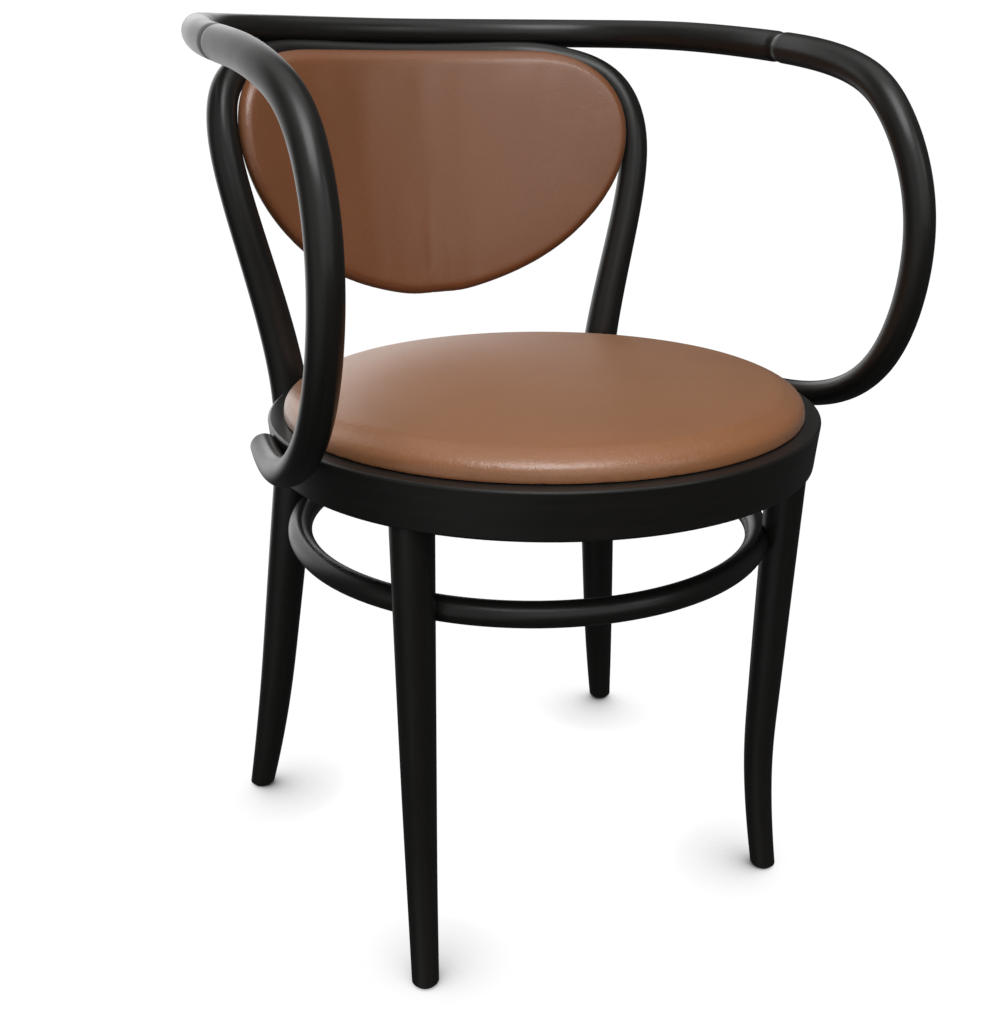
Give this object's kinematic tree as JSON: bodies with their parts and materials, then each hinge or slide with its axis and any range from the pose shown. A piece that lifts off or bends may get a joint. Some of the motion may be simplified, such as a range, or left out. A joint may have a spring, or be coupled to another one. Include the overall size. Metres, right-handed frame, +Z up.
{
  "type": "bentwood armchair",
  "caption": "Black bentwood armchair: round seat frame with a leather pad, one bow for arms and top rail, a hoop for rear legs and back, and a round leg ring.",
  "frame": {"origin": "on the floor, under the middle of the chair's box", "axes": "+Z up, -Y the way the sitter faces, +X to the right in a view from the front"},
  "size_m": [0.5198, 0.539, 0.7537],
  "materials": {
    "black_wood": "black stained and lacquered, satin",
    "plain_wood": "bare plywood and bare dowels, hidden",
    "foam": "upholstery foam, hidden",
    "leather": "brown leather, satin, fine grain",
    "dust_cloth": "black woven dust cloth",
    "steel": "zinc plated, dull",
    "brass": "yellow zinc, dull",
    "glides": "black nylon, matte"
  },
  "bodies": {
    "root": {"seat_ring": "black_wood", "seat_board": "plain_wood", "seat_foam": "foam", "seat_cover": "leather", "seat_dust_cover": "dust_cloth", "seat_board_screws": "steel", "back_rail": "black_wood", "arm_left": "black_wood", "arm_right": "black_wood", "arm_dowels": "plain_wood", "arm_end_screws": "steel", "rail_screws": "steel", "back_hoop": "black_wood", "rear_leg_bolts": "steel", "rear_leg_washers": "steel", "rear_leg_sleeves": "brass", "front_leg_left": "black_wood", "front_leg_right": "black_wood", "front_leg_screws": "steel", "leg_ring": "black_wood", "leg_ring_screws": "steel", "foot_glides": "glides", "back_board": "plain_wood", "back_foam": "foam", "back_cover": "leather", "back_liner": "leather", "back_board_screws": "steel", "back_board_pins": "steel"}
  },
  "joints": []
}
